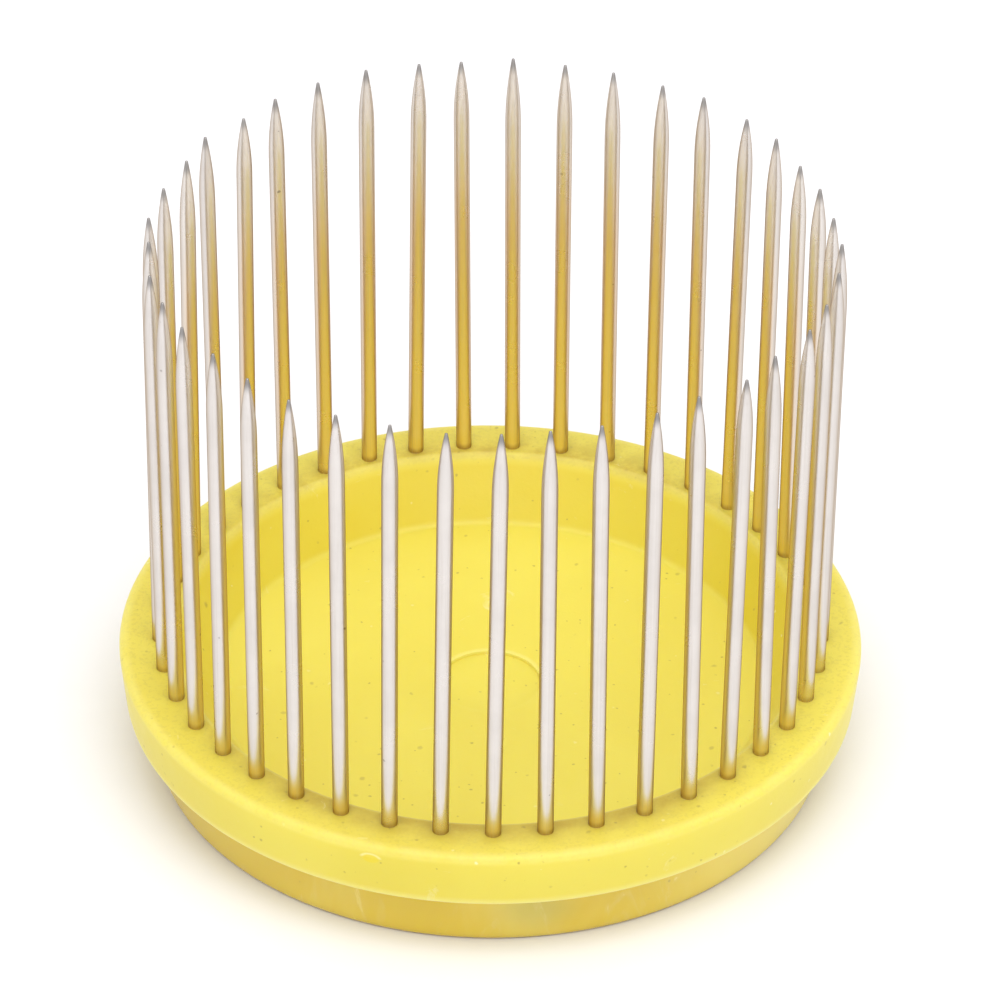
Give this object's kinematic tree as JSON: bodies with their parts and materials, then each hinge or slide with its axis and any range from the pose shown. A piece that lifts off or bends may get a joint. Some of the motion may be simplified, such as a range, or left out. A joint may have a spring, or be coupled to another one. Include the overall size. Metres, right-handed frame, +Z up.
{
  "type": "flower frog",
  "caption": "Round moulded dish with a ring of upright pointed steel needles round a shallow recess, closed underneath by a moulded cover.",
  "frame": {"origin": "centre of the underside, on the plane that the foot ring stands on", "axes": "+Z up along the needles, -Y towards the first needle"},
  "size_m": [0.0798, 0.0798, 0.0638],
  "materials": {
    "dish_plastic": "glossy translucent yellow moulding",
    "cover_plastic": "glossy translucent amber moulding",
    "needle_steel": "polished, with fine drawing lines"
  },
  "bodies": {
    "root": {"dish": "dish_plastic", "base_cover": "cover_plastic", "needle_01": "needle_steel", "needle_02": "needle_steel", "needle_03": "needle_steel", "needle_04": "needle_steel", "needle_05": "needle_steel", "needle_06": "needle_steel", "needle_07": "needle_steel", "needle_08": "needle_steel", "needle_09": "needle_steel", "needle_10": "needle_steel", "needle_11": "needle_steel", "needle_12": "needle_steel", "needle_13": "needle_steel", "needle_14": "needle_steel", "needle_15": "needle_steel", "needle_16": "needle_steel", "needle_17": "needle_steel", "needle_18": "needle_steel", "needle_19": "needle_steel", "needle_20": "needle_steel", "needle_21": "needle_steel", "needle_22": "needle_steel", "needle_23": "needle_steel", "needle_24": "needle_steel", "needle_25": "needle_steel", "needle_26": "needle_steel", "needle_27": "needle_steel", "needle_28": "needle_steel", "needle_29": "needle_steel", "needle_30": "needle_steel", "needle_31": "needle_steel", "needle_32": "needle_steel", "needle_33": "needle_steel", "needle_34": "needle_steel", "needle_35": "needle_steel", "needle_36": "needle_steel", "needle_37": "needle_steel", "needle_38": "needle_steel", "needle_39": "needle_steel", "needle_40": "needle_steel", "needle_41": "needle_steel"}
  },
  "joints": []
}
